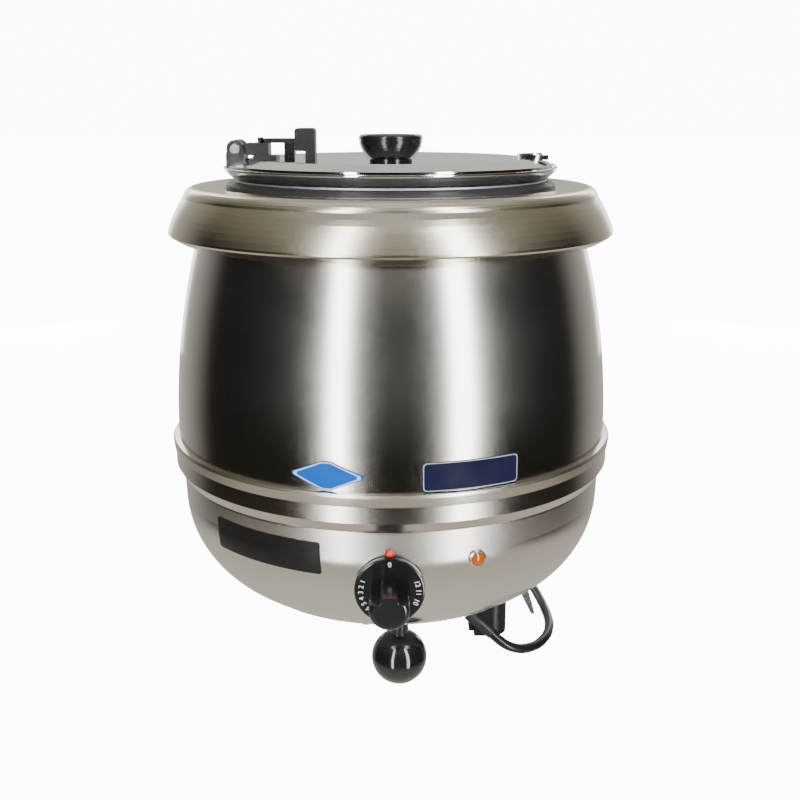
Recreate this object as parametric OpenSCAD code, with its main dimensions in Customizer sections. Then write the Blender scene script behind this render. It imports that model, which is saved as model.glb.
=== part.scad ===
// Electric soup kettle: a round brushed steel housing on three ball feet, with a water pan, a lift-out
// inner pot, a loose lid ring that carries a hinged lid with a ladle notch, and a control knob in front.
// Millimetres. +Z is up and the feet stand on Z = 0. The front of the kettle faces -Y.

/* [Housing] */
// Widest diameter of the housing, over the trim band
body_d = 349.4; // [300:0.2:430]
// Height of the edge of the top opening above the table
top_h = 366; // [310:1:450]
// Diameter of the opening in the top flange
opening_d = 242; // [190:1:256]
// Thickness of the sheet that the housing and the lid are pressed from
sheet = 1; // [0.6:0.1:1.4]
// How much narrower the barrel is at its top than at the band, on the radius
barrel_taper = 20; // [10:1:30]
// Distance from the edge of the top opening down to the top of the barrel
barrel_drop = 39; // [34:1:50]
// Radius of the curve between the bowl's wall and its bottom
bowl_curve = 81; // [60:1:95]
// Height of the underside of the base plate above the table
base_h = 57; // [50:1:70]

/* [Trim band] */
// Height of the band's top edge above the table
band_top = 179; // [165:1:230]
// Height of the band
band_height = 29; // [24:1:40]
// How far the band stands out from the barrel
band_proud = 4.7; // [3:0.1:7]
// How far the bowl's wall is set in from the barrel's wall
bowl_inset = 2.6; // [2:0.1:4]

/* [Top flange] */
// How far the flange's rim stays inside the band, on the radius
rim_inset = 4.7; // [0:0.1:12]
// Width of the rounded skirt from the shoulder to the rim
skirt_width = 21.5; // [16:0.5:24]
// Distance from the edge of the opening down to the rim
rim_drop = 30; // [24:1:34]
// Radius of the shoulder between the flat top and the skirt
shoulder_r = 9.5; // [6:0.5:12]
// How far the crest of the flange stands above the edge of the opening
crest_rise = 3.5; // [1:0.1:6]
// Depth of the collar that is turned down inside the opening
collar_depth = 8; // [6:0.5:12]

/* [Pot and pan] */
// Depth of the inner pot, from its rim to its bottom
pot_depth = 255; // [180:1:260]
// Wall thickness of the inner pot
pot_wall = 1; // [0.6:0.1:1.5]
// Radius of the round corner at the bottom of the pot and of the pan
pot_corner = 20; // [12:1:30]
// Water space between the pot and the pan, at the side
water_gap = 15; // [8:1:18]
// Water space between the pot and the pan, at the bottom
water_depth = 18; // [10:1:25]
// Height of the black seal in the opening
seal_height = 6.5; // [5:0.5:9]

/* [Lid] */
// Height of the lid ring above the rim of the pot
ring_height = 8.8; // [7:0.1:12]
// Thickness of the lid
lid_sheet = 1.2; // [0.8:0.1:1.6]
// Rise of the lid from its edge to its crest
lid_rise = 5.2; // [3:0.1:8]
// Depth of the dish inside the crest
lid_dish = 3.6; // [1:0.1:4]
// Width of the ladle notch
notch_width = 36; // [24:1:44]
// How far the ladle notch reaches in from the edge of the lid
notch_depth = 27; // [20:1:32]
// Diameter of the lid knob
lid_knob_d = 49; // [36:1:60]
// Height of the lid knob
lid_knob_height = 20.6; // [16:0.2:26]
// How far the lid opens
lid_open = 100; // [80:1:105]

/* [Hinge] */
// Radius of the hinge pin
pin_r = 2.5; // [2:0.1:3]
// Height of the hinge pin above the top of the lid ring
pin_height = 12.6; // [11:0.1:15]
// Distance of the hinge pin in from the outer edge of the lid
pin_inset = 8; // [6:0.5:10]
// Inside width between the two ears
ear_space = 21; // [17:0.5:26]
// Thickness of each ear
ear_plate = 2; // [1.5:0.1:3]

/* [Control knob] */
// Diameter of the numbered disc
dial_d = 48.4; // [40:0.2:60]
// Thickness of the numbered disc
dial_plate = 3.9; // [3:0.1:6]
// Height of the knob's axis above the table
dial_h = 108.7; // [100:0.5:116]
// How far the grip stands out from the disc
grip_length = 32.5; // [20:0.5:40]
// Radius of the grip's round heel
grip_r = 13.5; // [10:0.5:16]
// Radius of the control shaft
shaft_r = 3; // [2.5:0.1:4]

/* [Pilot lamp and index] */
// Height of the red index marker above the table
index_h = 134.7; // [134:0.5:142]
// Diameter of the red index marker
index_d = 7; // [5:0.5:9]
// Height of the pilot lamp above the table
lamp_h = 126.5; // [122:0.5:136]
// Angle of the pilot lamp round the housing, from the front towards the right
lamp_angle = 21.1; // [18:0.5:40]
// Diameter of the pilot lamp's bezel
bezel_d = 12.4; // [9:0.1:16]

/* [Badges] */
// Width of the diamond badge
badge_width = 50; // [30:1:60]
// Width of the oblong badge
oblong_width = 69; // [40:1:80]
// Height of both badges
badge_height = 20.4; // [12:0.2:24]
// Width of the notice plate
plate_width = 92; // [60:1:100]
// Height of the notice plate
plate_height = 24; // [14:1:26]

/* [Feet] */
// Diameter of a ball foot
foot_d = 42.2; // [34:0.2:46]
// Radius of the flat under a ball foot
foot_flat = 5; // [3:0.5:8]
// Distance of each foot from the kettle's axis
foot_circle = 100; // [80:1:104]
// Angle by which the front foot stands off the front line, towards the right
foot_turn = 3.7; // [0:0.1:30]
// Number of feet
foot_count = 3; // [3:1:5]

/* [Cord] */
// Diameter of the power cord
cord_d = 7.8; // [6:0.1:9]
// Number of turns that lie on the table in the coil
coil_turns = 3; // [2:1:4]
// Radius of the middle of the coil's turns
coil_r = 43; // [39:1:60]
// Radius of the plug's face
plug_r = 18; // [16:0.5:20]

/* [Output] */

/* [Hidden] */
$fn = 96;
fine = 360;
// Clearances
rest_gap = 0.3;
side_gap = 0.7;
run_gap = 0.05;
thread_gap = 0.05;
touch = 0.02;
// Housing
belt_r = body_d / 2;
barrel_r = belt_r - band_proud;
barrel_top_r = barrel_r - barrel_taper;
barrel_top_z = top_h - barrel_drop;
barrel_rise = barrel_top_z - band_top;
barrel_arc = (pow(barrel_taper, 2) + pow(barrel_rise, 2)) / (2 * barrel_taper);
band_bottom = band_top - band_height;
joint_z = band_top - band_height / 2;
bowl_r = barrel_r - bowl_inset;
bowl_lean = 0.6;
bowl_bend_z = band_bottom - 18.5;
bowl_bend_r = bowl_r - bowl_lean;
bowl_centre_r = bowl_bend_r - bowl_curve;
base_plate_t = 2;
bowl_bottom_z = base_h + base_plate_t;
bowl_bottom_r = bowl_centre_r + sqrt(pow(bowl_curve, 2) - pow(bowl_bend_z - bowl_bottom_z, 2));
bowl_turn_in = 14;
base_plate_r = bowl_bottom_r - 1.5;
base_screw_circle = base_plate_r - 6;
base_screw_r = 2;
base_screw_count = 6;
// Flange
opening_r = opening_d / 2;
lip_w = 6;
rim_r = belt_r - rim_inset;
rim_z = top_h - rim_drop;
shoulder_c = rim_r - skirt_width;
shoulder_z = top_h + crest_rise - 0.5 - shoulder_r;
crest_r = opening_r + lip_w + 0.6 * (shoulder_c - opening_r - lip_w);
collar_z = top_h - collar_depth;
// Pot, pan and heater
seal_top = top_h + seal_height;
seal_tongue = 2.8;
seal_hole_r = opening_r - seal_tongue - 2;
pot_r = seal_hole_r - side_gap;
pot_rim_r = opening_r - 2;
pot_rim_t = 1.2;
pot_rim_z = seal_top + rest_gap;
pot_top = pot_rim_z + pot_rim_t;
pot_bottom = pot_top - pot_depth;
pan_r = pot_r + water_gap;
pan_bottom = pot_bottom - water_depth - sheet;
heater_r = pan_r - pot_corner - 10;
heater_t = 6;
heater_z = pan_bottom - heater_t;
element_circle = 80;
element_r = 4.2;
element_flat = 3;
element_z = heater_z - element_flat;
terminal_spread = 9;
insulation_w = 15;
bulb_x = 20;
bulb_y = 30;
block_y = 62;
insulation_bottom = bowl_bend_z + 35;
insulation_top = barrel_top_z - 12;
// Lid ring
ring_bottom = pot_top + rest_gap;
ring_top = ring_bottom + ring_height;
ring_in_r = pot_r - pot_wall - side_gap - 1.2;
ring_wall = 1.2;
ring_depth = 9;
ring_rim_r = opening_r + 5.8;
// Lid
lid_r = ring_rim_r - 1.7;
lid_z = ring_top + rest_gap;
lid_edge_top = lid_z + 1.4;
lid_crest_z = lid_edge_top + lid_rise - 1;
lid_crest_r = lid_r - 21;
dish_r = lid_crest_r - 20;
dish_z = lid_crest_z - lid_dish;
notch_r = notch_width / 2;
notch_x = lid_r - notch_depth + notch_r;
notch_lip = 1.5;
notch_lip_h = 2.5;
knob_screw_r = 2.5;
knob_base_r = 17;
// Hinge
pin_x = -(lid_r - pin_inset);
pin_z = ring_top + pin_height;
ear_y = ear_space / 2;
bracket_t = 1.5;
bracket_in = -(ring_in_r + 0.8);
bracket_out = -(lid_r - 0.8);
knuckle_r = 5.5;
knuckle_w = ear_space - 1;
hinge_cut_x = pin_x + 12;
hinge_cut_y = ear_y + ear_plate + 1.5;
rivet_r = 1.5;
rivet_y = 6;
block_left = pin_x + 7.4;
block_right = block_left + 17.4;
block_low = pin_z - 5;
block_top = pin_z + 4;
strap_left = pin_x + 36.5;
strap_w = 8;
arm_left = block_right - 4;
arm_t = 3.4;
bumper_left = strap_left + strap_w;
bumper_w = 15.5;
bumper_top = pin_z + 15;
leg_w = 7.5;
// Control knob
dial_back = bowl_bend_r + 0.8;
dial_front = dial_back + dial_plate;
dial_front_reach = dial_front + grip_length;
grip_shoulder = 5.4;
grip_rib = 10.3;
shaft_in = dial_back - 22;
shaft_out = dial_front + 16;
neck_r = 5;
neck_out = dial_back + 1.4;
neck_in = dial_back - 16;
nut_r = 7;
nut_back = dial_back - 1.3;
nut_t = 2.4;
thermostat_w = 36;
thermostat_h = 32;
thermostat_in = neck_in - 18.5;
// Index marker
index_pin_r = index_d / 4;
// Pilot lamp
lamp_face = bowl_bend_r + 0.3;
lamp_body_r = 4.6;
lens_r = 5.3;
// The kettle's axis stands back from the origin so that the origin is below the middle of the box
axis_y = (dial_front_reach - belt_r) / 2;
// Badges
skin_t = 0.5;
badge_z = band_top + 0.4 + badge_height / 2;
diamond_angle = -14.3;
oblong_angle = 19.1;
plate_angle = -32.6;
plate_z = band_bottom - 22.5;
// Feet
foot_r = foot_d / 2;
foot_z = sqrt(pow(foot_r, 2) - pow(foot_flat, 2));
foot_stem_r = 7;
foot_screw_r = 3;
// Cord, from its exit to the coil, and from the coil to the plug, from the kettle's axis
gland_x = 76;
gland_y = -54;
gland_z = 19;
relief_tip = [80, -66, 21.5];
relief_root = [62, -62, 37];
lead_route = [
    [80, -66, 21.5], [85, -66.5, 17], [90.5, -66.5, 12.5], [96.5, -65.5, 9], [103.5, -63, 6.2],
    [111, -58.5, 4.6], [118.5, -52, 3.9], [125, -43, 3.9], [130, -32, 3.9], [133, -19, 3.9],
    [134, -5, 3.9], [133.5, 10, 3.9], [132, 27, 3.9], [130, 44, 3.9], [127, 61, 3.9], [122, 78, 3.9],
    [115, 94, 3.9], [107, 109, 3.9], [99.5, 123, 3.9], [94.5, 136, 3.9], [92.5, 150, 3.9]
];
end_route = [
    [40, 197, 10.7], [28, 198, 10.9], [16, 197.8, 11.8], [4, 196, 13.6], [-8, 193.3, 15.6],
    [-19, 190.2, 17.3], [-29, 187.3, 18.3]
];
coil_x = 40;
coil_y = 150;
coil_in = coil_r - coil_turns * cord_d / 2;
coil_out = coil_r + coil_turns * cord_d / 2;
coil_h = 1.866 * cord_d;
plug_turn = 196.3;
boot_length = 24;
plug_body = 34;
face_t = 5;
blade_r = 2.4;
blade_root_r = 1.9;
blade_length = 17.4;
root_length = 12.6;
blade_space = 19;
// Colours
steel = [0.72, 0.70, 0.66];
bright = [0.82, 0.82, 0.82];
black = [0.05, 0.05, 0.055];
inner_grey = [0.6, 0.6, 0.6];
amber = [0.9, 0.45, 0.1];
red = [0.8, 0.08, 0.05];
blue = [0.12, 0.3, 0.65];
navy = [0.08, 0.12, 0.3];
brass = [0.75, 0.6, 0.3];

// Points of an arc about c, from angle a to angle b in n steps
function arc(c, r, a, b, n) =
    [for (i = [0:n]) [c[0] + r * cos(a + (b - a) * i / n), c[1] + r * sin(a + (b - a) * i / n)]];

// Points between p and q, bowed sideways by bulge at the middle
function bow(p, q, bulge, n) =
    let (d = q - p, side = [-d[1], d[0]] / norm(d))
    [for (i = [1:n - 1]) let (t = i / n) p + d * t + side * bulge * 4 * t * (1 - t)];

function reversed(list) = [for (i = [len(list) - 1:-1:0]) list[i]];

// Section of the flange's sheet, t in from its outer face
function flange_line(t) =
    let (
        start = shoulder_r - t,
        turn = 12,
        top = [shoulder_c + start * cos(turn), shoulder_z + start * sin(turn)],
        rim = [rim_r - t, rim_z + 0.8]
    )
    concat(
        [[opening_r + t, collar_z], [opening_r + t, top_h - t], [opening_r + lip_w, top_h - t]],
        [[crest_r, top_h + crest_rise - t]],
        arc([shoulder_c, shoulder_z], start, 90, turn, 7),
        bow(top, rim, 1, 6),
        [rim, [rim_r - t, rim_z - 0.8], [rim_r - 1.4 - 0.6 * t, rim_z - 2.2 + 0.8 * t]],
        [[rim_r - 8.1, rim_z - 6 + 1.1 * t], [barrel_top_r + 1, barrel_top_z + t]],
        [[barrel_top_r - sheet, barrel_top_z + t]]
    );

// Section of a round-bottomed vessel, t in from its outer face
function vessel_line(r, low, high, t) =
    concat(
        [[0, low + t]],
        arc([r - pot_corner, low + pot_corner], pot_corner - t, -90, 0, 8),
        [[r - t, high]]
    );

// Top face of the lid, from its edge to its middle
lid_line = [
    [lid_r, lid_edge_top], [lid_crest_r + 10, lid_edge_top + lid_rise * 0.45],
    [lid_crest_r + 3, lid_crest_z - 0.3], [lid_crest_r, lid_crest_z], [lid_crest_r - 4, lid_crest_z - 0.5],
    [dish_r, dish_z + 0.5], [dish_r - 12, dish_z], [0, dish_z]
];

// Unit vectors along a route, and across it without twist
function along(p, i) =
    let (d = p[min(i + 1, len(p) - 1)] - p[max(i - 1, 0)])
    d / norm(d);
function flat_to(v, t) = let (s = v - t * (v * t)) s / norm(s);
function across(p) =
    [for (i = 0, s = flat_to([0, 0, 1], along(p, 0)); i < len(p);
        i = i + 1, s = flat_to(s, along(p, min(i, len(p) - 1)))) s];

// A tube swept along a route, as one closed solid
module tube(p, d, sides) {
    s = across(p);
    rings = [for (i = [0:len(p) - 1], k = [0:sides - 1])
        p[i] + d / 2 * (s[i] * cos(360 * k / sides) + cross(along(p, i), s[i]) * sin(360 * k / sides))];
    n = len(p);
    walls = [for (i = [0:n - 2], k = [0:sides - 1])
        let (m = (k + 1) % sides)
        [i * sides + k, (i + 1) * sides + k, (i + 1) * sides + m, i * sides + m]];
    near = [for (k = [0:sides - 1]) k];
    far = [for (k = [sides - 1:-1:0]) (n - 1) * sides + k];
    polyhedron(rings, concat([near], walls, [far]));
}

// Draws its children about the kettle's axis
module on_axis() {
    translate([0, axis_y, 0]) children();
}

// Draws its children with +Z pointing out of the housing at height z and angle a from the front
module facing(z, a) {
    on_axis() translate([0, 0, z]) rotate([90, 0, a]) children();
}

// A screw with its head down: head from z = -head_h to 0 and its shank above
module screw(r, head_r, head_h, length) {
    translate([0, 0, -head_h]) cylinder(r = head_r, h = head_h);
    cylinder(r = r, h = length);
}

module band_outline(extra) {
    polygon([
        [barrel_r, band_top], [belt_r - 1.1, band_top - 0.5], [belt_r, band_top - 2.4],
        [belt_r - 0.7, band_top - 8.6], [belt_r - 1.6, band_top - 9.2], [belt_r - 1.6, band_bottom + 8],
        [bowl_r + 1, band_bottom], [bowl_r, band_bottom], [bowl_r, joint_z], [barrel_r, joint_z]
    ]);
}

// The solid inside the barrel's outer face, with the face moved out by extra
module barrel_outline(extra) {
    intersection() {
        translate([barrel_r - barrel_arc, band_top]) circle(r = barrel_arc + extra, $fn = fine);
        translate([0, band_top]) square([barrel_r + extra, barrel_rise]);
    }
    translate([0, joint_z]) square([barrel_r + extra, band_top - joint_z]);
}

module barrel() {
    color(steel) on_axis() rotate_extrude() difference() {
        barrel_outline(0);
        barrel_outline(-sheet);
    }
}

module trim_band() {
    color(steel) on_axis() rotate_extrude() band_outline(0);
}

// The solid inside the bowl's outer face, with the face moved out by extra
module bowl_outline(extra) {
    polygon([
        [0, bowl_bend_z], [bowl_bend_r + extra, bowl_bend_z], [bowl_r + extra, band_bottom - 2],
        [bowl_r + extra, joint_z], [0, joint_z]
    ]);
    intersection() {
        translate([bowl_centre_r, bowl_bend_z]) circle(r = bowl_curve + extra, $fn = fine);
        translate([bowl_centre_r, bowl_bottom_z]) square([bowl_curve + extra, bowl_bend_z - bowl_bottom_z]);
    }
    translate([0, bowl_bottom_z]) square([bowl_centre_r, bowl_bend_z - bowl_bottom_z]);
}

module base_holes(r) {
    for (i = [0:base_screw_count - 1])
        rotate([0, 0, 360 / base_screw_count * (i + 0.35)]) translate([base_screw_circle, 0, 0])
            cylinder(r = r, h = bowl_bend_z);
}

module bowl() {
    color(steel) difference() {
        on_axis() rotate_extrude() {
            difference() {
                bowl_outline(0);
                bowl_outline(-sheet);
                translate([0, bowl_bottom_z]) square([bowl_bottom_r - bowl_turn_in, bowl_bend_z]);
            }
            translate([bowl_bottom_r - bowl_turn_in, bowl_bottom_z])
                square([bowl_turn_in - sheet, sheet]);
        }
        facing(dial_h, 0) cylinder(r = neck_r + run_gap, h = belt_r);
        facing(index_h, 0) cylinder(r = index_pin_r + run_gap, h = belt_r);
        facing(lamp_h, lamp_angle) cylinder(r = lamp_body_r + run_gap, h = belt_r);
        on_axis() base_holes(base_screw_r + run_gap);
    }
}

module top_flange() {
    color(steel) on_axis() rotate_extrude() polygon(concat(flange_line(0), reversed(flange_line(sheet))));
}

module opening_seal() {
    outer = opening_r + 4.6;
    color(black) on_axis() rotate_extrude() polygon(concat(
        [[seal_hole_r, top_h - 4], [opening_r, top_h - 4], [opening_r, top_h], [outer, top_h]],
        [[outer, top_h + 2.2], [outer - 0.6, seal_top - 2.3], [outer - 2.4, seal_top - 0.9]],
        [[outer - 5, seal_top], [seal_hole_r, seal_top]]
    ));
}

module water_pan() {
    color(inner_grey) on_axis() rotate_extrude() polygon(concat(
        vessel_line(pan_r, pan_bottom, collar_z, 0),
        [[opening_r, collar_z], [opening_r, collar_z - sheet]],
        reversed(vessel_line(pan_r, pan_bottom, collar_z - sheet, sheet))
    ));
}

module heater_plate() {
    color(inner_grey) on_axis() translate([0, 0, heater_z]) cylinder(r = heater_r, h = heater_t);
}

module heating_element() {
    color(inner_grey) on_axis() translate([0, 0, element_z]) rotate_extrude()
        translate([element_circle, 0]) intersection() {
            circle(r = element_r);
            translate([-element_r, -element_r]) square([2 * element_r, element_r + element_flat]);
        }
}

module element_terminals() {
    color(brass) difference() {
        on_axis() for (s = [-1, 1])
            translate([s * terminal_spread, -element_circle, element_z - 16]) cylinder(r = 2.5, h = 16);
        heating_element();
    }
}

module insulation() {
    color([0.85, 0.82, 0.7]) on_axis() translate([0, 0, insulation_bottom]) difference() {
        cylinder(r = pan_r + insulation_w, h = insulation_top - insulation_bottom);
        translate([0, 0, -1]) cylinder(r = pan_r, h = insulation_top);
    }
}

module at_feet(list) {
    for (i = list) rotate([0, 0, foot_turn + 360 / foot_count * i]) translate([0, -foot_circle, 0]) children();
}

module base_plate() {
    color(inner_grey) difference() {
        on_axis() translate([0, 0, base_h]) cylinder(r = base_plate_r, h = base_plate_t);
        on_axis() base_holes(base_screw_r + run_gap);
        on_axis() at_feet([0:foot_count - 1]) cylinder(r = foot_screw_r + thread_gap, h = bowl_bend_z);
    }
}

module base_screws() {
    color(bright) on_axis() for (i = [0:base_screw_count - 1])
        rotate([0, 0, 360 / base_screw_count * (i + 0.35)]) translate([base_screw_circle, 0, base_h])
            screw(base_screw_r, 3.6, 2, 6);
}

module foot() {
    color(bright) difference() {
        union() {
            intersection() {
                translate([0, 0, foot_z]) sphere(r = foot_r);
                cylinder(r = foot_r + 1, h = foot_z + foot_r);
            }
            translate([0, 0, foot_z]) cylinder(r = foot_stem_r, h = base_h - foot_z);
        }
        translate([0, 0, foot_z]) cylinder(r = foot_screw_r + thread_gap, h = base_h);
    }
}

module foot_front() {
    on_axis() at_feet([0]) foot();
}

module foot_left() {
    on_axis() at_feet([2]) foot();
}

module foot_right() {
    on_axis() at_feet([1]) foot();
}

module foot_screws() {
    color(bright) on_axis() at_feet([0:foot_count - 1])
        translate([0, 0, bowl_bottom_z]) mirror([0, 0, 1]) screw(foot_screw_r, 5.5, 3.5, 16);
}

module thermostat() {
    color(inner_grey) facing(dial_h, 0) difference() {
        union() {
            translate([-thermostat_w / 2, -thermostat_h / 2, thermostat_in])
                cube([thermostat_w, thermostat_h, neck_in - thermostat_in]);
            translate([0, 0, neck_in - 1]) cylinder(r = neck_r, h = neck_out - neck_in + 1);
        }
        translate([0, 0, shaft_in - 1]) cylinder(r = shaft_r + run_gap, h = belt_r);
    }
}

module thermostat_nut() {
    color(brass) facing(dial_h, 0) translate([0, 0, nut_back]) difference() {
        cylinder(r = nut_r, h = nut_t, $fn = 6);
        translate([0, 0, -1]) cylinder(r = neck_r + run_gap, h = nut_t + 2);
    }
}

module sensor_bulb() {
    color(brass) on_axis() translate([-bulb_x, bulb_y, heater_z - 3]) intersection() {
        rotate([0, 90, 0]) cylinder(r = 3.6, h = 50);
        translate([-1, -5, -5]) cube([60, 10, 8]);
    }
}

module capillary() {
    low = dial_h - thermostat_h / 2 - touch;
    into_body = 7 - neck_in;
    color(brass) on_axis() tube([
        [-bulb_x - touch, bulb_y, heater_z - 3.5], [-bulb_x - 8, bulb_y, heater_z - 3.5],
        [-42, 22, heater_z - 10], [-54, -8, heater_z - 14], [-52, -50, heater_z - 14],
        [-42, -90, heater_z - 12], [-28, -122, heater_z - 10], [-14, into_body + 4, heater_z - 8],
        [-10, into_body, low - 4], [-10, into_body, low]
    ], 2, 8);
}

// A dome whose lower edge gives way to the numbered disc
module index_marker() {
    back = bowl_r + run_gap;
    color(red) {
        difference() {
            facing(index_h, 0) intersection() {
                translate([0, 0, back - 0.8]) sphere(r = index_d / 2);
                translate([0, 0, back]) cylinder(r = index_d, h = index_d);
            }
            facing(dial_h, 0) cylinder(r = dial_d / 2 + rest_gap + run_gap, h = 2 * belt_r);
        }
        facing(index_h, 0) translate([0, 0, back - 6]) cylinder(r = index_pin_r, h = 6);
    }
}

module lamp_bezel() {
    color(bright) facing(lamp_h, lamp_angle) translate([0, 0, lamp_face]) difference() {
        union() {
            cylinder(r = bezel_d / 2, h = 1);
            translate([0, 0, 1]) cylinder(r1 = bezel_d / 2, r2 = bezel_d / 2 - 0.8, h = 0.8);
        }
        translate([0, 0, -1]) cylinder(r = lens_r, h = 5);
    }
}

module lamp_lens() {
    color(amber) facing(lamp_h, lamp_angle) translate([0, 0, lamp_face]) intersection() {
        cylinder(r = lens_r, h = 4);
        translate([0, 0, -5]) sphere(r = 8.5);
    }
}

module lamp_body() {
    color(inner_grey) facing(lamp_h, lamp_angle) translate([0, 0, lamp_face - 26])
        cylinder(r = lamp_body_r, h = 26);
}

// Sheet of thickness skin_t lying on the barrel or the bowl, cut to the outline of its children
module on_barrel(z, a) {
    intersection() {
        on_axis() rotate_extrude() difference() {
            barrel_outline(skin_t);
            barrel_outline(0);
        }
        facing(z, a) linear_extrude(belt_r + 5) children();
    }
}

module on_bowl(z, a) {
    intersection() {
        on_axis() rotate_extrude() difference() {
            bowl_outline(skin_t);
            bowl_outline(0);
        }
        facing(z, a) linear_extrude(belt_r + 5) children();
    }
}

module round_oblong(w, h, r) {
    square([w - 2 * r, h], center = true);
    square([w, h - 2 * r], center = true);
    for (x = [-1, 1], y = [-1, 1]) translate([x * (w / 2 - r), y * (h / 2 - r)]) circle(r = r);
}

module badge_diamond() {
    w = badge_width / 2;
    h = badge_height / 2;
    color(blue) on_barrel(badge_z, diamond_angle)
        polygon([[-w, -1], [-3, -h], [3, -h], [w, -1], [w, 1], [3, h], [-3, h], [-w, 1]]);
}

module badge_oblong() {
    color(navy) on_barrel(badge_z, oblong_angle) round_oblong(oblong_width, badge_height, 3);
}

module notice_plate() {
    color(black) on_bowl(plate_z, plate_angle) round_oblong(plate_width, plate_height, 2);
}

module terminal_block() {
    color(inner_grey) on_axis() translate([40, -block_y, bowl_bottom_z]) cube([36, 22, 16]);
}

module element_wire() {
    color(red) on_axis() tube([
        [50, -block_y - touch, 68], [50, -block_y - 6, 68], [42, -76, 70], [30, -82, 70], [18, -83, 70],
        [terminal_spread, -element_circle, 71], [terminal_spread, -element_circle, element_z - 16 - touch]
    ], 2.4, 8);
}

module thermostat_wire() {
    into_body = 12 - neck_in;
    color(blue) on_axis() tube([
        [60, -block_y - touch, 64], [60, -block_y - 6, 64], [54, -84, 66], [46, -104, 72], [36, -122, 82],
        [30, -134, 92], [26, into_body, dial_h - 8], [thermostat_w / 2 + touch, into_body, dial_h - 8]
    ], 2.4, 8);
}

module cord_gland() {
    color(black) on_axis() {
        translate([gland_x - 14, gland_y - 9, gland_z + 3]) cube([10, 22, base_h - gland_z - 3]);
        translate([gland_x - 10, gland_y - 12, gland_z]) cube([14, 26, base_h - gland_z]);
        translate([gland_x + 4, gland_y + 1, gland_z]) cylinder(r = 12.4, h = base_h - gland_z);
        translate([gland_x + 4, gland_y + 1, base_h - 4]) cylinder(r = 15.5, h = 4);
    }
}

module strain_relief() {
    reach = relief_tip - relief_root;
    lean = acos(reach[2] / norm(reach));
    color(black) on_axis() translate(relief_root) rotate([0, lean, atan2(reach[1], reach[0])])
        cylinder(r1 = 5.6, r2 = cord_d / 2 + 0.7, h = norm(reach));
}

module cord_hook() {
    color([0.3, 0.3, 0.3]) on_axis() hull() {
        translate([96, -4, base_h - 2]) cube([12, 24, 2]);
        translate([119, -6, 8]) cube([3, 9, 2]);
    }
}

module cord_lead() {
    color(black) on_axis() tube(lead_route, cord_d, 10);
}

module cord_coil() {
    color(black) on_axis() translate([coil_x, coil_y, 0]) rotate_extrude()
        translate([coil_in, 0]) square([coil_out - coil_in, coil_h]);
}

module cord_end() {
    color(black) on_axis() tube(end_route, cord_d, 10);
}

// Draws its children with +Z along the plug, from the end of its boot
module at_plug() {
    on_axis() translate(end_route[len(end_route) - 1]) rotate([0, 90, plug_turn]) children();
}

module plug() {
    color(black) at_plug() difference() {
        rotate_extrude() polygon([
            [0, 0], [cord_d / 2 + 0.6, 0], [7, boot_length], [13, boot_length + 5],
            [14.5, boot_length + plug_body - face_t], [plug_r, boot_length + plug_body - face_t],
            [plug_r, boot_length + plug_body], [0, boot_length + plug_body]
        ]);
        for (s = [-1, 1]) translate([0, s * blade_space / 2, boot_length + plug_body - 12])
            cylinder(r = blade_root_r, h = 20);
    }
}

module plug_pins() {
    color(brass) at_plug() for (s = [-1, 1])
        translate([0, s * blade_space / 2, boot_length + plug_body - 12]) {
            cylinder(r = blade_root_r, h = root_length);
            translate([0, 0, root_length]) cylinder(r = blade_r, h = blade_length);
            translate([0, 0, root_length + blade_length]) cylinder(r1 = blade_r, r2 = blade_r - 1, h = 1);
        }
}

module control_knob() {
    disc_r = dial_d / 2;
    color(black) facing(dial_h, 0) difference() {
        union() {
            translate([0, 0, dial_back]) rotate_extrude() polygon([
                [0, 0], [disc_r - 0.5, 0], [disc_r, 0.5], [disc_r, dial_plate - 1],
                [disc_r - 0.4, dial_plate - 0.3], [disc_r - 1.2, dial_plate], [0, dial_plate]
            ]);
            intersection() {
                translate([0, 0, dial_front - 0.5]) linear_extrude(grip_length + 0.5) {
                    intersection() {
                        circle(r = grip_r);
                        translate([-grip_r, -grip_r]) square([2 * grip_r, grip_r + grip_shoulder]);
                    }
                    polygon([[-6.6, grip_shoulder - 1], [6.6, grip_shoulder - 1], [4, grip_rib], [-4, grip_rib]]);
                }
                translate([0, 0, dial_front - 1]) rotate_extrude() polygon(concat(
                    [[0, 0], [grip_r + 3, 0], [grip_r, 4]],
                    arc([grip_r - 4, grip_length - 3], 4, 0, 90, 6),
                    [[0, grip_length + 1]]
                ));
            }
        }
        translate([0, 0, dial_back - 1]) cylinder(r = nut_r + 1, h = 3);
        translate([0, 0, dial_back - 1]) cylinder(r = shaft_r, h = shaft_out - dial_back + 1);
    }
}

module control_shaft() {
    color(bright) facing(dial_h, 0) translate([0, 0, shaft_in]) cylinder(r = shaft_r, h = shaft_out - shaft_in);
}

module inner_pot() {
    color(bright) on_axis() rotate_extrude() polygon(concat(
        vessel_line(pot_r, pot_bottom, pot_rim_z, 0),
        [[pot_rim_r, pot_rim_z], [pot_rim_r, pot_top]],
        reversed(vessel_line(pot_r, pot_bottom, pot_top, pot_wall))
    ));
}

module at_rivets() {
    for (s = [-1, 1]) on_axis() translate([(bracket_in + bracket_out) / 2, s * rivet_y, ring_top]) children();
}

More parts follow.
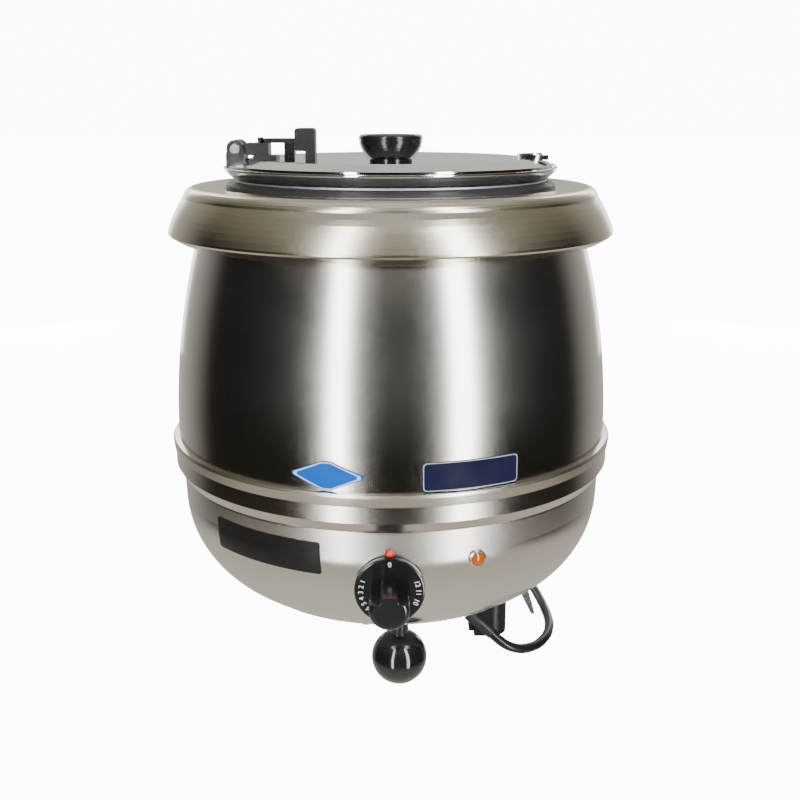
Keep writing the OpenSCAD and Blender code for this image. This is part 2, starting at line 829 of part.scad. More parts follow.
module lid_ring() {
    under = ring_top - ring_wall;
    color(bright) difference() {
        on_axis() rotate_extrude() polygon([
            [ring_in_r, ring_bottom - ring_depth], [ring_in_r, ring_top], [ring_rim_r - 1.1, ring_top],
            [ring_rim_r - 0.2, ring_top - 0.4], [ring_rim_r, ring_top - 1.2], [ring_rim_r - 0.3, ring_top - 2],
            [pot_rim_r + 0.4, ring_bottom], [pot_rim_r - 1, ring_bottom],
            [ring_rim_r - 2.4, under - 0.9], [ring_rim_r - 2.8, under], [ring_in_r + ring_wall, under],
            [ring_in_r + ring_wall, ring_bottom - ring_depth]
        ]);
        at_rivets() translate([0, 0, -5]) cylinder(r = rivet_r, h = 6);
    }
}

module hinge_bracket() {
    color(bright) difference() {
        on_axis() {
            translate([bracket_out, -ear_y - ear_plate, ring_top])
                cube([bracket_in - bracket_out, ear_space + 2 * ear_plate, bracket_t]);
            for (y = [-ear_y - ear_plate, ear_y]) translate([0, y + ear_plate, 0]) rotate([90, 0, 0])
                linear_extrude(ear_plate) {
                    polygon([
                        [bracket_out, ring_top], [bracket_out, ring_top + 9], [pin_x - 3.6, pin_z + 3.6],
                        [pin_x + 2, pin_z + 6], [pin_x + 6.5, pin_z], [pin_x + 6.5, ring_top + 4],
                        [bracket_in, ring_top]
                    ]);
                    translate([pin_x, pin_z]) circle(r = 6.6);
                }
        }
        on_axis() translate([pin_x, -30, pin_z]) rotate([-90, 0, 0]) cylinder(r = pin_r, h = 60);
        at_rivets() cylinder(r = rivet_r, h = 5);
    }
}

module hinge_pin() {
    span = ear_space / 2 + ear_plate;
    color(bright) on_axis() translate([pin_x, 0, pin_z]) rotate([90, 0, 0]) {
        translate([0, 0, -span]) cylinder(r = pin_r, h = 2 * span);
        for (s = [-1, 1]) translate([0, 0, s * (span + 0.75)]) cylinder(r = 3.6, h = 1.5, center = true);
    }
}

module bracket_rivets() {
    color(bright) at_rivets() {
        translate([0, 0, -ring_wall - 1]) cylinder(r = 2.4, h = 1);
        translate([0, 0, -ring_wall]) cylinder(r = rivet_r, h = ring_wall + bracket_t);
        translate([0, 0, bracket_t]) cylinder(r1 = 2.6, r2 = 1.8, h = 1);
    }
}

// The room that the lid's edge leaves for the hinge and for the ladle
module lid_cuts() {
    on_axis() {
        translate([-2 * lid_r + pin_x, -lid_r, lid_z - 5]) cube([2 * lid_r, 2 * lid_r, 30]);
        translate([pin_x - 10, -hinge_cut_y, lid_z - 5]) cube([hinge_cut_x - pin_x + 10, 2 * hinge_cut_y, 30]);
        translate([notch_x, 0, lid_z - 5]) cylinder(r = notch_r, h = 30);
        translate([notch_x, -notch_r, lid_z - 5]) cube([2 * notch_r, notch_width, 30]);
    }
}

module lid() {
    under = [for (p = lid_line) [p[0], p[1] - lid_sheet]];
    color(bright) difference() {
        union() {
            on_axis() rotate_extrude() polygon(concat(
                [[lid_r, lid_z]], lid_line, reversed([for (i = [1:len(under) - 1]) under[i]]),
                [[lid_r - 1.5, lid_z]]
            ));
            on_axis() translate([notch_x, 0, lid_crest_z - lid_sheet]) difference() {
                cylinder(r = notch_r + notch_lip, h = lid_sheet + notch_lip_h);
                translate([2, -lid_r, -5]) cube([lid_r, 2 * lid_r, 30]);
            }
        }
        lid_cuts();
        on_axis() translate([0, 0, lid_z - 5]) cylinder(r = knob_screw_r, h = 30);
    }
}

// The solid below the lid's top face, which cuts the feet of the pieces that stand on the lid
module below_lid() {
    on_axis() rotate_extrude() polygon(concat(lid_line, [[0, lid_z - 10], [lid_r, lid_z - 10]]));
}

module lid_knob() {
    r = lid_knob_d / 2;
    color(black) on_axis() translate([0, 0, dish_z]) difference() {
        rotate_extrude() polygon(concat(
            [[0, 0], [knob_base_r, 0], [knob_base_r + 0.4, 2.5]],
            bow([knob_base_r + 0.4, 2.5], [r, lid_knob_height - 4.2], -1.2, 6),
            arc([r - 2.6, lid_knob_height - 2.6], 2.6, -30, 90, 8),
            [[r - 5.5, lid_knob_height], [r - 7, lid_knob_height - 0.6], [0, lid_knob_height - 0.6]]
        ));
        translate([0, 0, -1]) cylinder(r = knob_screw_r, h = 13);
    }
}

module lid_knob_screw() {
    color(bright) on_axis() translate([0, 0, dish_z - lid_sheet]) screw(knob_screw_r, 5, 2.2, 12);
}

module hinge_block() {
    color(black) difference() {
        on_axis() {
            translate([pin_x, 0, pin_z]) rotate([90, 0, 0]) cylinder(r = knuckle_r, h = knuckle_w, center = true);
            translate([pin_x, -knuckle_w / 2, pin_z - 3]) cube([block_left - pin_x + 1, knuckle_w, 6]);
            translate([block_left, -knuckle_w / 2, block_low]) cube([block_right - block_left, knuckle_w, 9]);
            translate([block_left + 6, -knuckle_w / 2 - 3, lid_z])
                cube([block_right - block_left, knuckle_w + 6, block_low - lid_z]);
            translate([block_left + 10.5, 0, block_top]) cylinder(r = 2.3, h = 4.2);
        }
        below_lid();
        on_axis() translate([pin_x, -30, pin_z]) rotate([-90, 0, 0]) cylinder(r = pin_r + run_gap, h = 60);
    }
}

module hinge_arm() {
    color(black) on_axis() translate([arm_left, -6, block_top]) cube([bumper_left - arm_left, 12, arm_t]);
}

module hinge_strap() {
    color(bright) difference() {
        on_axis() translate([strap_left, -8, lid_z]) cube([strap_w, 16, block_top - lid_z]);
        below_lid();
    }
}

module lid_bumper() {
    waist = pin_z - 2;
    tall = bumper_top - waist;
    color(black) difference() {
        on_axis() {
            translate([bumper_left, 10, waist]) rotate([90, 0, 0]) linear_extrude(20)
                translate([bumper_w / 2, tall / 2]) round_oblong(bumper_w, tall, 2.5);
            translate([bumper_left + bumper_w - leg_w, -10, lid_z]) cube([leg_w, 20, waist + 5 - lid_z]);
        }
        below_lid();
    }
}

barrel();
trim_band();
bowl();
top_flange();
opening_seal();
water_pan();
heater_plate();
heating_element();
element_terminals();
insulation();
base_plate();
base_screws();
foot_front();
foot_left();
foot_right();
foot_screws();
thermostat();
thermostat_nut();
sensor_bulb();
capillary();
index_marker();
lamp_bezel();
lamp_lens();
lamp_body();
badge_diamond();
badge_oblong();
notice_plate();
terminal_block();
element_wire();
thermostat_wire();
cord_gland();
strain_relief();
cord_hook();
cord_lead();
cord_coil();
cord_end();
plug();
plug_pins();
control_knob();
control_shaft();
inner_pot();
lid_ring();
hinge_bracket();
hinge_pin();
bracket_rivets();
lid();
lid_knob();
lid_knob_screw();
hinge_block();
hinge_arm();
hinge_strap();
lid_bumper();
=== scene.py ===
import math

import bpy
from mathutils import Matrix, Vector


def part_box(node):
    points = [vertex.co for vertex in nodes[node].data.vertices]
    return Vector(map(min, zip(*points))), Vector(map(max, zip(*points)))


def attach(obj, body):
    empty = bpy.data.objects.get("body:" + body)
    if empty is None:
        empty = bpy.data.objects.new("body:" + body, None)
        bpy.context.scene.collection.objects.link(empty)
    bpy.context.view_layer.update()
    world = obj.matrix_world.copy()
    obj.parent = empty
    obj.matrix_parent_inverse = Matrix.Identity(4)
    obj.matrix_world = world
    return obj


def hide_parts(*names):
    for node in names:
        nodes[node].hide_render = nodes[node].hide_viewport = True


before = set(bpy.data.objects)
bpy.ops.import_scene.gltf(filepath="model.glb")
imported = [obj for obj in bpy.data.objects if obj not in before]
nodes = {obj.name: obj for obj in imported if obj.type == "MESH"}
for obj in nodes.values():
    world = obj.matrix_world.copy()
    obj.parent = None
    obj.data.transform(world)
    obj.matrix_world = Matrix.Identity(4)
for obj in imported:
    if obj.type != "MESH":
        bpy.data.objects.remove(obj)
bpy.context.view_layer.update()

# The kettle's axis stands a little behind the origin
low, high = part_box("barrel")
AXIS = Vector(((low.x + high.x) / 2, (low.y + high.y) / 2, 0))


# ---------------------------------------------------------------- camera

DISTANCE = 0.828
HEIGHT = 0.426
SIDE_STEP = 0.007
PITCH = 15.51
LENS = 47.52

camera_data = bpy.data.cameras.new("camera")
camera_data.lens = LENS
camera_data.sensor_width = 36
camera = bpy.data.objects.new("camera", camera_data)
camera.location = (AXIS.x + SIDE_STEP, AXIS.y - DISTANCE, HEIGHT)
camera.rotation_euler = (math.radians(90 - PITCH), 0, 0)
bpy.context.scene.collection.objects.link(camera)
bpy.context.scene.camera = camera


# ---------------------------------------------------------------- helpers


def mesh_object(name, verts, faces):
    mesh = bpy.data.meshes.new(name)
    mesh.from_pydata(verts, [], faces)
    mesh.validate()
    mesh.update()
    piece = bpy.data.objects.new(name, mesh)
    bpy.context.scene.collection.objects.link(piece)
    return piece


def finish_with(piece, material):
    piece.data.materials.clear()
    piece.data.materials.append(material)
    return piece


def dress(names, material):
    for name in names:
        piece = nodes[name]
        if not piece.material_slots:
            piece.data.materials.append(material)
        for slot in piece.material_slots:
            slot.material = material


def smooth_line(points, steps):
    """Catmull-Rom line through the points."""
    line = []
    last = len(points) - 1
    for i in range(last):
        a, b, c, d = (Vector(points[max(0, min(last, i + k))]) for k in (-1, 0, 1, 2))
        for s in range(steps):
            t = s / steps
            line.append(
                0.5
                * (
                    2 * b
                    + (c - a) * t
                    + (2 * a - 5 * b + 4 * c - d) * t * t
                    + (3 * b - 3 * c + d - a) * t * t * t
                )
            )
    line.append(Vector(points[-1]))
    return line


def from_mm(points):
    return [Vector(p) / 1000 + AXIS for p in points]


# ---------------------------------------------------------------- cord

CORD_D = 0.0078
COIL_CENTRE = (0.040, 0.150)
# The coil winds inwards on the table, climbs on top of itself and winds outwards again
COIL_TURNS = 5.25
STEPS_A_TURN = 24
CLIMB_AFTER = 2.62
CLIMB_TURNS = 0.5
COIL_OUTER_R = 0.0525
COIL_INNER_R = 0.035
TOP_START_R = 0.0391
TOP_LAYER = 1.866
LEAD_ROUTE = [
    (80, -66, 21.5), (85, -66.5, 17), (90.5, -66.5, 12.5), (96.5, -65.5, 9), (103.5, -63, 6.2),
    (111, -58.5, 4.6), (118.5, -52, 3.9), (125, -43, 3.9), (130, -32, 3.9), (133, -19, 3.9),
    (134, -5, 3.9), (133.5, 10, 3.9), (132, 27, 3.9), (130, 44, 3.9), (127, 61, 3.9), (122, 78, 3.9),
    (115, 94, 3.9), (107, 109, 3.9), (99.5, 123, 3.9), (94.5, 136, 3.9), (92.5, 150, 3.9),
]
END_ROUTE = [
    (40, 197, 10.7), (28, 198, 10.9), (16, 197.8, 11.8), (4, 196, 13.6), (-8, 193.3, 15.6),
    (-19, 190.2, 17.3), (-29, 187.3, 18.3),
]


def smooth_step(t):
    t = max(0.0, min(1.0, t))
    return t * t * (3 - 2 * t)


def coil_radius(turn):
    """Radius of the coil after so many turns."""
    climbed = CLIMB_AFTER + CLIMB_TURNS
    if turn < CLIMB_AFTER:
        return COIL_OUTER_R - (COIL_OUTER_R - COIL_INNER_R) * turn / CLIMB_AFTER
    if turn < climbed:
        climb = smooth_step((turn - CLIMB_AFTER) / CLIMB_TURNS)
        return COIL_INNER_R + (TOP_START_R - COIL_INNER_R) * climb
    return TOP_START_R + CORD_D * (turn - climbed) / (COIL_TURNS - climbed)


def coil_points():
    points = []
    low_z = CORD_D / 2
    high_z = CORD_D * (TOP_LAYER - 0.5)
    for i in range(1, int(STEPS_A_TURN * COIL_TURNS)):
        turn = i / STEPS_A_TURN
        r = coil_radius(turn)
        a = math.tau * turn
        x, y = COIL_CENTRE
        z = low_z + (high_z - low_z) * smooth_step((turn - CLIMB_AFTER) / CLIMB_TURNS)
        points.append(AXIS + Vector((x + r * math.cos(a), y + r * math.sin(a), z)))
    return points


ROUTE_STEPS = 5
route = smooth_line(from_mm(LEAD_ROUTE), ROUTE_STEPS)[:-1]
route += coil_points()
route += smooth_line(from_mm(END_ROUTE), ROUTE_STEPS)

cord_curve = bpy.data.curves.new("power_cord", "CURVE")
cord_curve.dimensions = "3D"
cord_curve.bevel_depth = 1
cord_curve.bevel_resolution = 6
spline = cord_curve.splines.new("POLY")
spline.points.add(len(route) - 1)
for point, place in zip(spline.points, route):
    point.co = (*place, 1)
    point.radius = CORD_D / 2
spline.use_smooth = True
cord = bpy.data.objects.new("power_cord", cord_curve)
bpy.context.scene.collection.objects.link(cord)
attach(cord, "housing")
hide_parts("cord_lead", "cord_coil", "cord_end")


# ---------------------------------------------------------------- materials


def new_material(name, color, metallic, roughness, **sockets):
    material = bpy.data.materials.new(name)
    material.use_nodes = True
    shader = material.node_tree.nodes["Principled BSDF"]
    shader.inputs["Base Color"].default_value = (*color, 1)
    shader.inputs["Metallic"].default_value = metallic
    shader.inputs["Roughness"].default_value = roughness
    for key, value in sockets.items():
        shader.inputs[key.replace("_", " ")].default_value = value
    return material


def add(material, kind, **settings):
    node = material.node_tree.nodes.new("ShaderNode" + kind)
    for key, value in settings.items():
        setattr(node, key, value)
    return node


def link(material, a, out, b, into):
    material.node_tree.links.new(a.outputs[out], b.inputs[into])


def math_node(material, operation, a, b=None):
    """A math node on values or on (node, output) pairs."""
    node = add(material, "Math", operation=operation)
    for i, value in enumerate((a, b)):
        if isinstance(value, tuple):
            link(material, value[0], value[1], node, i)
        elif value is not None:
            node.inputs[i].default_value = value
    return node


def noise(material, vector, scale, detail, roughness=0.5):
    node = add(material, "TexNoise")
    node.inputs["Scale"].default_value = scale
    node.inputs["Detail"].default_value = detail
    node.inputs["Roughness"].default_value = roughness
    link(material, vector[0], vector[1], node, "Vector")
    return node


def mapped(material, source, low_in, high_in, low_out, high_out):
    node = add(material, "MapRange")
    node.inputs["From Min"].default_value = low_in
    node.inputs["From Max"].default_value = high_in
    node.inputs["To Min"].default_value = low_out
    node.inputs["To Max"].default_value = high_out
    link(material, source, 0, node, "Value")
    return node


def round_coordinates(material, around, across):
    """Object coordinates unrolled about the kettle's axis: stretched by around along the grain."""
    place = add(material, "TexCoord")
    parts = add(material, "SeparateXYZ")
    link(material, place, "Object", parts, 0)
    y = math_node(material, "SUBTRACT", (parts, 1), AXIS.y)
    angle = math_node(material, "ARCTAN2", (y, 0), (parts, 0))
    square = math_node(material, "MULTIPLY", (parts, 0), (parts, 0))
    y_square = math_node(material, "MULTIPLY", (y, 0), (y, 0))
    radius = math_node(material, "SQRT", (math_node(material, "ADD", (square, 0), (y_square, 0)), 0))
    u = math_node(material, "MULTIPLY", (angle, 0), around)
    v = math_node(material, "MULTIPLY", (parts, 2), across)
    w = math_node(material, "MULTIPLY", (radius, 0), across)
    joined = add(material, "CombineXYZ")
    for i, node in enumerate((u, v, w)):
        link(material, node, 0, joined, i)
    return joined


def tint(material, factor, color, dark, light):
    """Base colour that varies with factor between dark and light shares of color."""
    ramp = add(material, "ValToRGB")
    ramp.color_ramp.elements[0].position = 0.3
    ramp.color_ramp.elements[1].position = 0.7
    ramp.color_ramp.elements[0].color = (*(c * dark for c in color), 1)
    ramp.color_ramp.elements[1].color = (*(c * light for c in color), 1)
    link(material, factor, 0, ramp, "Fac")
    link(material, ramp, "Color", material.node_tree.nodes["Principled BSDF"], "Base Color")


def bump(material, source, strength, distance):
    node = add(material, "Bump")
    node.inputs["Strength"].default_value = strength
    node.inputs["Distance"].default_value = distance
    link(material, source, 0, node, "Height")
    link(material, node, "Normal", material.node_tree.nodes["Principled BSDF"], "Normal")


def brushed(name, color, roughness):
    """Steel brushed round the axis: fine rings of grain and broad clouds of wear."""
    material = new_material(name, color, 1.0, roughness, Anisotropic=0.8)
    shader = material.node_tree.nodes["Principled BSDF"]
    grain_space = round_coordinates(material, 7, 3200)
    grain = noise(material, (grain_space, 0), 1.0, 4.0, 0.6)
    cloud_space = round_coordinates(material, 1.5, 14)
    cloud = noise(material, (cloud_space, 0), 1.6, 3.0)
    grain_share = math_node(material, "MULTIPLY", (grain, 0), 0.6)
    cloud_share = math_node(material, "MULTIPLY", (cloud, 0), 0.4)
    mixed = math_node(material, "ADD", (grain_share, 0), (cloud_share, 0))
    rough = mapped(material, mixed, 0.3, 0.7, roughness * 0.92, roughness * 1.1)
    link(material, rough, 0, shader, "Roughness")
    tint(material, mixed, color, 0.95, 1.03)
    bump(material, grain, 0.02, 0.0002)
    tangent = add(material, "Tangent", direction_type="RADIAL", axis="Z")
    link(material, tangent, 0, shader, "Tangent")
    return material


def polished(name, color, roughness):
    """Bright metal with faint smears and fine handling marks."""
    material = new_material(name, color, 1.0, roughness)
    shader = material.node_tree.nodes["Principled BSDF"]
    place = add(material, "TexCoord")
    smear = noise(material, (place, "Object"), 22, 4.0)
    rough = mapped(material, smear, 0.35, 0.7, roughness * 0.6, roughness * 1.7)
    link(material, rough, 0, shader, "Roughness")
    tint(material, smear, color, 0.95, 1.03)
    fine = noise(material, (place, "Object"), 900, 2.0)
    bump(material, fine, 0.02, 0.0001)
    return material


def moulded(name, color, roughness, grain=700, strength=0.08, **sockets):
    """Moulded plastic or rubber: fine surface grain and slight wear in its gloss."""
    material = new_material(name, color, 0.0, roughness, **sockets)
    shader = material.node_tree.nodes["Principled BSDF"]
    place = add(material, "TexCoord")
    wear = noise(material, (place, "Object"), 45, 4.0)
    rough = mapped(material, wear, 0.3, 0.75, roughness * 0.8, min(1, roughness * 1.35))
    link(material, rough, 0, shader, "Roughness")
    tint(material, wear, color, 0.88, 1.15)
    fine = noise(material, (place, "Object"), grain, 3.0)
    bump(material, fine, strength, 0.0002)
    return material


barrel_steel = brushed("barrel_steel", (0.60, 0.575, 0.53), 0.15)
# The bowl's base colour is painted reflection: the same steel as the barrel, made lighter to stand for
# the pale warm table it mirrors.
bowl_steel_painted_reflection = brushed("bowl_steel_painted_reflection", (0.72, 0.70, 0.66), 0.24)
# The flange's base colour is painted reflection: the same steel as the barrel, tinted olive-beige to
# stand for the room it mirrors above.
flange_steel_painted_reflection = brushed("flange_steel_painted_reflection", (0.62, 0.58, 0.48), 0.17)
band_steel = brushed("band_steel", (0.62, 0.59, 0.54), 0.18)
chrome = polished("polished_steel", (0.78, 0.78, 0.79), 0.09)
bright = polished("bright_steel", (0.74, 0.74, 0.75), 0.16)
plain = brushed("plain_steel", (0.55, 0.55, 0.55), 0.38)
gloss_black = moulded("black_gloss", (0.008, 0.008, 0.009), 0.2, strength=0.03, Coat_Weight=0.2)
satin_black = moulded("black_plastic", (0.007, 0.007, 0.008), 0.34)
black_rubber = moulded("black_rubber", (0.016, 0.016, 0.017), 0.5)
cord_black = moulded("cord_rubber", (0.007, 0.007, 0.008), 0.3, grain=400)
ball_black = moulded("ball_foot", (0.01, 0.01, 0.011), 0.12, strength=0.02, Coat_Weight=0.6)
grey = moulded("grey_plastic", (0.11, 0.11, 0.11), 0.45)
aluminium = polished("aluminium", (0.65, 0.65, 0.67), 0.4)
brass = polished("brass", (0.68, 0.53, 0.26), 0.25)
felt = moulded("insulation", (0.7, 0.66, 0.52), 0.95, grain=260, strength=0.6)
red_gloss = moulded("red_plastic", (0.55, 0.02, 0.012), 0.2, Coat_Weight=0.4)
amber = moulded("amber_lens", (0.3, 0.075, 0.008), 0.16, Coat_Weight=0.3)
blue_print = moulded("blue_badge", (0.0005, 0.08, 0.42), 0.6, Specular_IOR_Level=0.2)
navy_print = moulded("navy_badge", (0.001, 0.002, 0.025), 0.6, Specular_IOR_Level=0.2)
pale_print = moulded("pale_print", (0.55, 0.6, 0.66), 0.4)
plate_print = moulded("black_plate", (0.002, 0.002, 0.0025), 0.4)
white_print = moulded("white_print", (0.8, 0.8, 0.8), 0.5)
red_wire = moulded("red_wire", (0.4, 0.02, 0.02), 0.5)
blue_wire = moulded("blue_wire", (0.02, 0.06, 0.35), 0.5)

dress(["barrel"], barrel_steel)
dress(["bowl"], bowl_steel_painted_reflection)
dress(["top_flange"], flange_steel_painted_reflection)
dress(["trim_band"], band_steel)
dress(["lid", "lid_ring", "hinge_bracket", "hinge_strap"], chrome)
dress(["base_screws", "foot_screws", "lamp_bezel", "control_shaft", "hinge_pin", "bracket_rivets",
       "lid_knob_screw"], bright)
dress(["water_pan", "inner_pot", "base_plate", "heating_element"], plain)
dress(["lid_knob", "control_knob"], gloss_black)
dress(["hinge_block", "hinge_arm", "lid_bumper", "cord_gland", "plug"], satin_black)
dress(["opening_seal", "strain_relief"], black_rubber)
dress(["foot_front", "foot_left", "foot_right"], ball_black)
dress(["thermostat", "terminal_block", "lamp_body", "cord_hook"], grey)
dress(["heater_plate"], aluminium)
dress(["element_terminals", "thermostat_nut", "sensor_bulb", "capillary", "plug_pins"], brass)
dress(["insulation"], felt)
dress(["index_marker"], red_gloss)
dress(["lamp_lens"], amber)
dress(["badge_diamond"], blue_print)
dress(["badge_oblong"], navy_print)
dress(["notice_plate"], plate_print)
dress(["element_wire"], red_wire)
dress(["thermostat_wire"], blue_wire)
finish_with(cord, cord_black)


# ---------------------------------------------------------------- numbers on the disc

DIAL_PLATE = 0.0039
NUMBER_SIZE = 0.0050
NUMBER_INSET = 0.0046
NUMBER_DEPTH = 0.00005
NUMBER_LIFT = 0.00007
# Degrees from the top of the disc, anticlockwise as seen from the front
NUMBER_ANGLES = {
    "0": 0, "1": 68, "2": 80, "3": 92, "4": 105, "5": 117, "6": 130, "7": 150, "8": 172, "9": 198,
    "10": 247, "11": 268, "12": 287,
}


def solid_number(text):
    """A number as a thin solid mesh in its own flat frame."""
    name = "number_" + text
    curve = bpy.data.curves.new(name, "FONT")
    curve.body = text
    curve.size = NUMBER_SIZE
    curve.align_x = "CENTER"
    curve.align_y = "CENTER"
    curve.extrude = NUMBER_DEPTH
    holder = bpy.data.objects.new(name + "_curve", curve)
    bpy.context.scene.collection.objects.link(holder)
    depsgraph = bpy.context.evaluated_depsgraph_get()
    mesh = bpy.data.meshes.new_from_object(holder.evaluated_get(depsgraph))
    bpy.data.objects.remove(holder)
    bpy.data.curves.remove(curve)
    piece = bpy.data.objects.new(name, mesh)
    bpy.context.scene.collection.objects.link(piece)
    return piece


def dial_numbers():
    low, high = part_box("control_knob")
    centre_z = (low.z + high.z) / 2
    reach = (high.x - low.x) / 2 - NUMBER_INSET
    face_y = high.y - DIAL_PLATE - NUMBER_LIFT
    for text, degrees in NUMBER_ANGLES.items():
        a = math.radians(degrees)
        piece = solid_number(text)
        place = Matrix.Translation(
            (AXIS.x - reach * math.sin(a), face_y, centre_z + reach * math.cos(a))
        )
        turn = Matrix.Rotation(-a, 4, "Y") @ Matrix.Rotation(math.pi / 2, 4, "X")
        piece.data.transform(place @ turn)
        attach(piece, "dial")
        finish_with(piece, white_print)


dial_numbers()


# ---------------------------------------------------------------- printed borders


BADGE_HEIGHT = 0.0204
DIAMOND_WIDTH = 0.050
OBLONG_WIDTH = 0.069
BORDER_LIFT = 0.0001
BORDER_POINTS = 240
SKIN_ROWS = 12


def skin_table(node):
    """Heights on a thin printed skin, each with the skin's outer radius there."""
    low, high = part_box(node)
    row = (high.z - low.z) / SKIN_ROWS
    points = [
        (v.co.z, math.hypot(v.co.x - AXIS.x, v.co.y - AXIS.y)) for v in nodes[node].data.vertices
    ]
    table = []
    for i in range(SKIN_ROWS + 1):
        z = low.z + row * i
        near = [r for height, r in points if abs(height - z) < row]
        if near:
            table.append((z, max(near)))
    return table


def skin_radius(table, z):
    if z <= table[0][0]:
        return table[0][1]
    for (low_z, low_r), (high_z, high_r) in zip(table, table[1:]):
        if z <= high_z:
            t = (z - low_z) / (high_z - low_z)
            return low_r * (1 - t) + high_r * t
    return table[-1][1]


def skin_angle(node):
    """Angle of the middle of a skin round the axis, from the front towards the right."""
    angles = [math.atan2(v.co.x - AXIS.x, AXIS.y - v.co.y) for v in nodes[node].data.vertices]
    return (min(angles) + max(angles)) / 2


def diamond(inset):
    """Outline of a diamond with small flats at its corners."""
    w, h = DIAMOND_WIDTH / 2 - inset * 2.6, BADGE_HEIGHT / 2 - inset
    side, tip = 0.001, 0.003
    return [(-w, -side), (-tip, -h), (tip, -h), (w, -side), (w, side), (tip, h), (-tip, h), (-w, side)]


def oblong(inset):
    """Outline of an oblong with round corners."""
    w, h, c = OBLONG_WIDTH / 2 - inset, BADGE_HEIGHT / 2 - inset, 0.003 - inset * 0.6
    steps = 6
    points = []
    for cx, cy, start in ((1, 1, 0), (-1, 1, 90), (-1, -1, 180), (1, -1, 270)):
        for i in range(steps + 1):
            a = math.radians(start + 90 * i / steps)
            points.append((cx * (w - c) + c * math.cos(a), cy * (h - c) + c * math.sin(a)))
    return points


def between(a, b, t):
    return a[0] + (b[0] - a[0]) * t, a[1] + (b[1] - a[1]) * t


def spread(points):
    """BORDER_POINTS points that follow a closed outline."""
    dense = []
    for a, b in zip(points, points[1:] + points[:1]):
        steps = max(1, int(math.dist(a, b) / 0.002))
        dense += [between(a, b, i / steps) for i in range(steps)]
    line = []
    for i in range(BORDER_POINTS):
        f = i / BORDER_POINTS * len(dense)
        k = int(f)
        line.append(between(dense[k], dense[(k + 1) % len(dense)], f - k))
    return line


def printed_border(name, node, outline, edge, width):
    """A thin pale line that follows the outline of a badge on the curved wall."""
    low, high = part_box(node)
    middle_z = (low.z + high.z) / 2
    angle = skin_angle(node)
    table = skin_table(node)
    verts = []
    for inset in (edge, edge + width):
        for x, y in spread(outline(inset)):
            r = skin_radius(table, middle_z + y) + BORDER_LIFT
            turn = angle + math.asin(x / r)
            verts.append((AXIS.x + r * math.sin(turn), AXIS.y - r * math.cos(turn), middle_z + y))
    n = BORDER_POINTS
    faces = [(i, (i + 1) % n, n + (i + 1) % n, n + i) for i in range(n)]
    piece = mesh_object(name, verts, faces)
    piece.data.shade_smooth()
    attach(piece, "housing")
    finish_with(piece, pale_print)


printed_border("diamond_border", "badge_diamond", diamond, 0.0006, 0.0009)
printed_border("oblong_border", "badge_oblong", oblong, 0.0004, 0.0004)


# ---------------------------------------------------------------- light and floor


TARGET = Vector((AXIS.x, AXIS.y, 0.25))


def area_light(name, power, place, width, height):
    data = bpy.data.lights.new(name, "AREA")
    data.shape = "RECTANGLE"
    data.size = width
    data.size_y = height
    data.energy = power
    light = bpy.data.objects.new(name, data)
    light.location = place
    light.rotation_euler = (TARGET - Vector(place)).to_track_quat("-Z", "Y").to_euler()
    bpy.context.scene.collection.objects.link(light)
    return light


def around(angle, distance, z):
    """A place at an angle from the front towards the right."""
    a = math.radians(angle)
    return (AXIS.x + distance * math.sin(a), AXIS.y - distance * math.cos(a), z)


area_light("left_box", 30, around(-25, 1.5, 0.5), 0.20, 2.6)
area_light("right_box", 40, around(35, 1.5, 0.5), 0.28, 2.6)
for side in (-1, 1):
    strip = area_light("back_strip", 4, around(side * 150, 1.3, 0.6), 0.3, 1.3)
    strip.visible_camera = False
top_box = area_light("top_box", 14, (AXIS.x, AXIS.y - 0.2, 2.6), 2.4, 2.4)
top_box.visible_glossy = False


FLOOR_HALF = 14
SWEEP_GLOW = 12


def pale_floor():
    """A pale matt floor that the camera also sees lit from within, as an even sweep."""
    h = FLOOR_HALF
    floor = mesh_object("floor", [(-h, -h, 0), (h, -h, 0), (h, h, 0), (-h, h, 0)], [(0, 1, 2, 3)])
    floor.visible_glossy = False
    material = new_material("floor", (0.8, 0.8, 0.8), 0.0, 0.9)
    shader = material.node_tree.nodes["Principled BSDF"]
    shader.inputs["Emission Color"].default_value = (1, 1, 1, 1)
    seen = add(material, "LightPath")
    strength = math_node(material, "MULTIPLY", (seen, "Is Camera Ray"), SWEEP_GLOW)
    link(material, strength, 0, shader, "Emission Strength")
    finish_with(floor, material)


pale_floor()

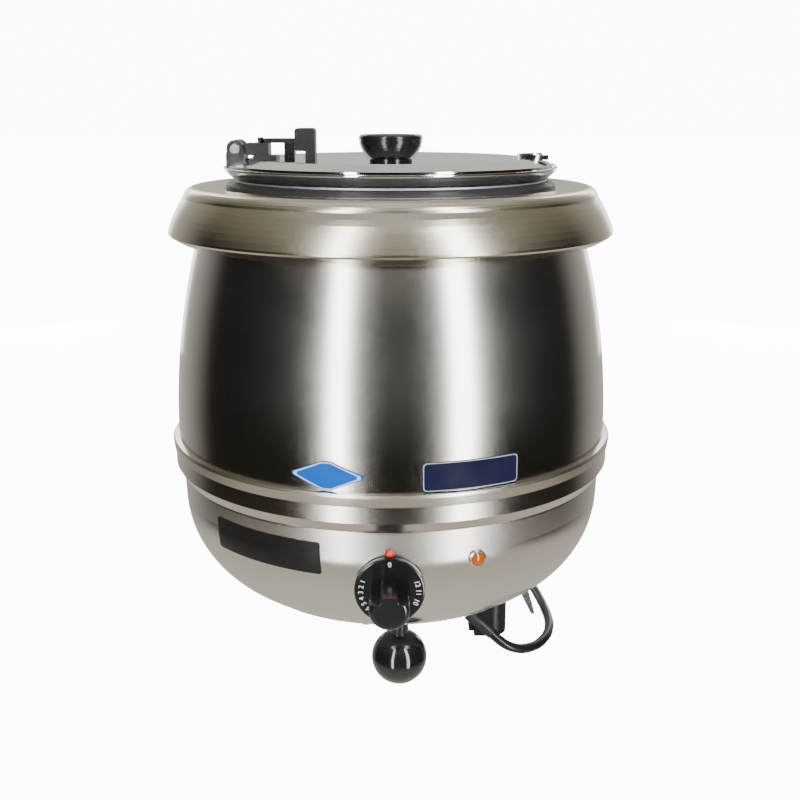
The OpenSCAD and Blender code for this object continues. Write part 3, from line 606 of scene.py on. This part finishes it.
# What the steel mirrors, from straight down to straight up: a warm table, a dark room, a pale ceiling
ROOM = [
    (0.0, (0.78, 0.73, 0.64)), (0.25, (0.60, 0.55, 0.47)), (0.31, (0.02, 0.017, 0.014)),
    (0.62, (0.004, 0.0035, 0.003)), (0.72, (0.15, 0.14, 0.10)), (0.86, (0.30, 0.285, 0.23)),
    (1.0, (1.1, 1.1, 1.08)),
]
BACK_WALL = (0.75, 0.72, 0.66, 1)


def background(world, color, strength):
    node = add(world, "Background")
    node.inputs["Color"].default_value = color
    node.inputs["Strength"].default_value = strength
    return node


def chosen(world, ray, otherwise, then):
    """A shader that is then for rays of one kind and otherwise for the rest."""
    node = add(world, "MixShader")
    link(world, add(world, "LightPath"), ray, node, 0)
    link(world, otherwise, 0, node, 1)
    link(world, then, 0, node, 2)
    return node


def room(world):
    """What a mirror sees: the room's bands by height, with a pale wall behind the kettle."""
    place = add(world, "TexCoord")
    split = add(world, "SeparateXYZ")
    link(world, place, "Generated", split, 0)
    height = add(world, "MapRange")
    height.inputs["From Min"].default_value = -1
    link(world, split, "Z", height, "Value")
    ramp = add(world, "ValToRGB")
    stops = ramp.color_ramp.elements
    while len(stops) < len(ROOM):
        stops.new(1)
    for stop, (position, color) in zip(stops, ROOM):
        stop.position = position
        stop.color = (*color, 1)
    link(world, height, "Result", ramp, "Fac")
    behind = add(world, "MapRange")
    behind.inputs["From Min"].default_value = 0.3
    behind.inputs["From Max"].default_value = 0.9
    link(world, split, "Y", behind, "Value")
    wall = add(world, "Mix", data_type="RGBA")
    factor, dark_side, wall_side = (wall.inputs[i] for i in (0, 6, 7))
    wall_side.default_value = BACK_WALL
    world.node_tree.links.new(behind.outputs["Result"], factor)
    world.node_tree.links.new(ramp.outputs["Color"], dark_side)
    mirrored = background(world, (1, 1, 1, 1), 1)
    link(world, wall, 2, mirrored, "Color")
    return mirrored


world = bpy.data.worlds.new("world")
world.use_nodes = True
even = background(world, (0.97, 0.98, 1.0, 1), 0.55)
white = background(world, (1, 1, 1, 1), SWEEP_GLOW)
by_gloss = chosen(world, "Is Glossy Ray", even, room(world))
by_camera = chosen(world, "Is Camera Ray", by_gloss, white)
link(world, by_camera, 0, world.node_tree.nodes["World Output"], "Surface")
bpy.context.scene.world = world

bpy.context.view_layer.update()
